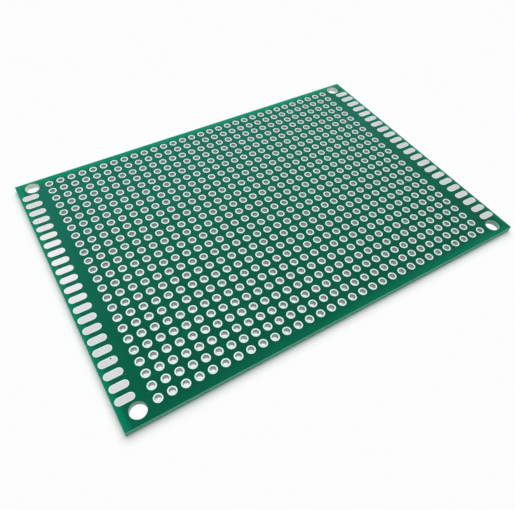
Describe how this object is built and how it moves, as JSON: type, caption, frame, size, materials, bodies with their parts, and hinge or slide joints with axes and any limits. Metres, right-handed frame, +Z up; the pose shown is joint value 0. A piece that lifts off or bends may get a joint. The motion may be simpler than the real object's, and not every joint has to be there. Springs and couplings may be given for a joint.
{
  "type": "prototype board",
  "caption": "Double-sided circuit prototyping board: a green plate with a grid of tin-plated through-holes, contact pads along both short edges and a mounting hole in each corner.",
  "frame": {"origin": "middle of the board's outline, on the plane of the underside's pads", "axes": "+X along the board's length, +Y towards the back long edge, +Z up out of the upper face"},
  "size_m": [0.09, 0.0636, 0.0013],
  "materials": {
    "laminate": "matte",
    "solder_mask": "gloss",
    "tin": "satin"
  },
  "bodies": {
    "root": {"rigid_laminate": "laminate", "solder_mask_top": "solder_mask", "solder_mask_bottom": "solder_mask", "plated_holes_row_01": "tin", "plated_holes_row_02": "tin", "plated_holes_row_03": "tin", "plated_holes_row_04": "tin", "plated_holes_row_05": "tin", "plated_holes_row_06": "tin", "plated_holes_row_07": "tin", "plated_holes_row_08": "tin", "plated_holes_row_09": "tin", "plated_holes_row_10": "tin", "plated_holes_row_11": "tin", "plated_holes_row_12": "tin", "plated_holes_row_13": "tin", "plated_holes_row_14": "tin", "plated_holes_row_15": "tin", "plated_holes_row_16": "tin", "plated_holes_row_17": "tin", "plated_holes_row_18": "tin", "plated_holes_row_19": "tin", "plated_holes_row_20": "tin", "plated_holes_row_21": "tin", "plated_holes_row_22": "tin", "plated_holes_row_23": "tin", "plated_holes_row_24": "tin", "edge_pads_left_top": "tin", "edge_pads_left_bottom": "tin", "edge_pads_right_top": "tin", "edge_pads_right_bottom": "tin"}
  },
  "joints": []
}
